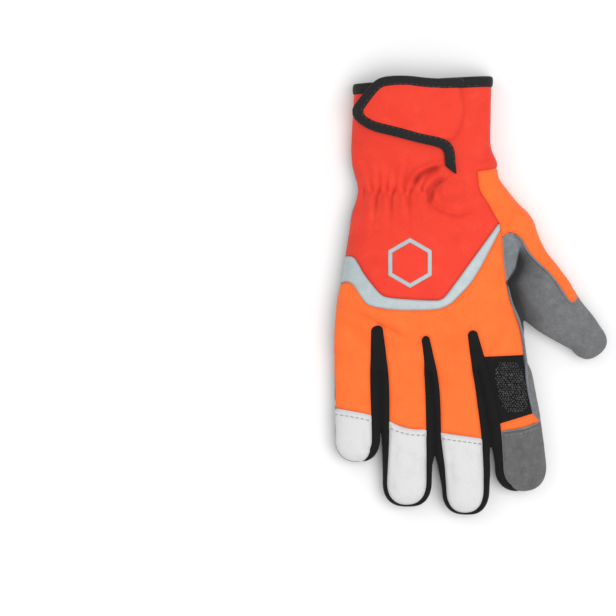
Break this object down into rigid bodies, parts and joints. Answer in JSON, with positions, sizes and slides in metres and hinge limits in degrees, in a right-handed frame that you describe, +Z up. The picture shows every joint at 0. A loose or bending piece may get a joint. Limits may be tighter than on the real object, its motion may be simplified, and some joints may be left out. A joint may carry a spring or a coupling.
{
  "type": "protective glove",
  "caption": "Right-hand work glove lying palm down: suede palm, softshell back with a reflective band, stretch fingers with leather tips, gathered wrist and a closure strap over an open cuff.",
  "frame": {"origin": "below the middle of the glove's outline, on the surface it lies on", "axes": "+Y from the fingertips to the cuff opening, +X towards the thumb, +Z up through the back of the hand"},
  "size_m": [0.1582, 0.2536, 0.0319],
  "materials": {
    "red_softshell": "matt smooth stretch softshell with a fine weave",
    "orange_softshell": "matt smooth stretch softshell with a fine weave",
    "reflective_film": "silver-grey reflective film with a soft sheen",
    "white_leather": "smooth white grain leather",
    "grey_suede": "brushed grey synthetic suede",
    "black_stretch": "matt black stretch knit",
    "black_tape": "matt black woven edge tape with a stitched edge",
    "rubber_patch": "black knit with a pebbled rubber grip area"
  },
  "bodies": {
    "root": {"back_panel": "red_softshell", "reflective_band": "reflective_film", "fingers_panel": "orange_softshell", "cap_little": "white_leather", "cap_ring": "white_leather", "cap_middle": "white_leather", "index_patch": "rubber_patch", "index_strip": "orange_softshell", "cap_index": "grey_suede", "index_side": "grey_suede", "fourchette_little_ring": "black_stretch", "fourchette_ring_middle": "black_stretch", "fourchette_middle_index": "black_stretch", "palm": "grey_suede", "finger_base_little": "grey_suede", "finger_front_little": "grey_suede", "finger_base_ring": "grey_suede", "finger_front_ring": "grey_suede", "finger_base_middle": "grey_suede", "finger_front_middle": "grey_suede", "finger_base_index": "grey_suede", "finger_front_index": "grey_suede", "palm_wrist": "grey_suede", "cuff_side_little": "red_softshell", "cuff_side_thumb": "red_softshell", "thumb_back": "grey_suede", "thumb_front": "grey_suede", "thumb_base": "grey_suede", "thumb_gusset": "orange_softshell", "thumb_crotch": "grey_suede", "cuff_binding": "black_tape", "strap": "red_softshell", "strap_binding": "black_tape", "back_ring": "reflective_film"}
  },
  "joints": []
}
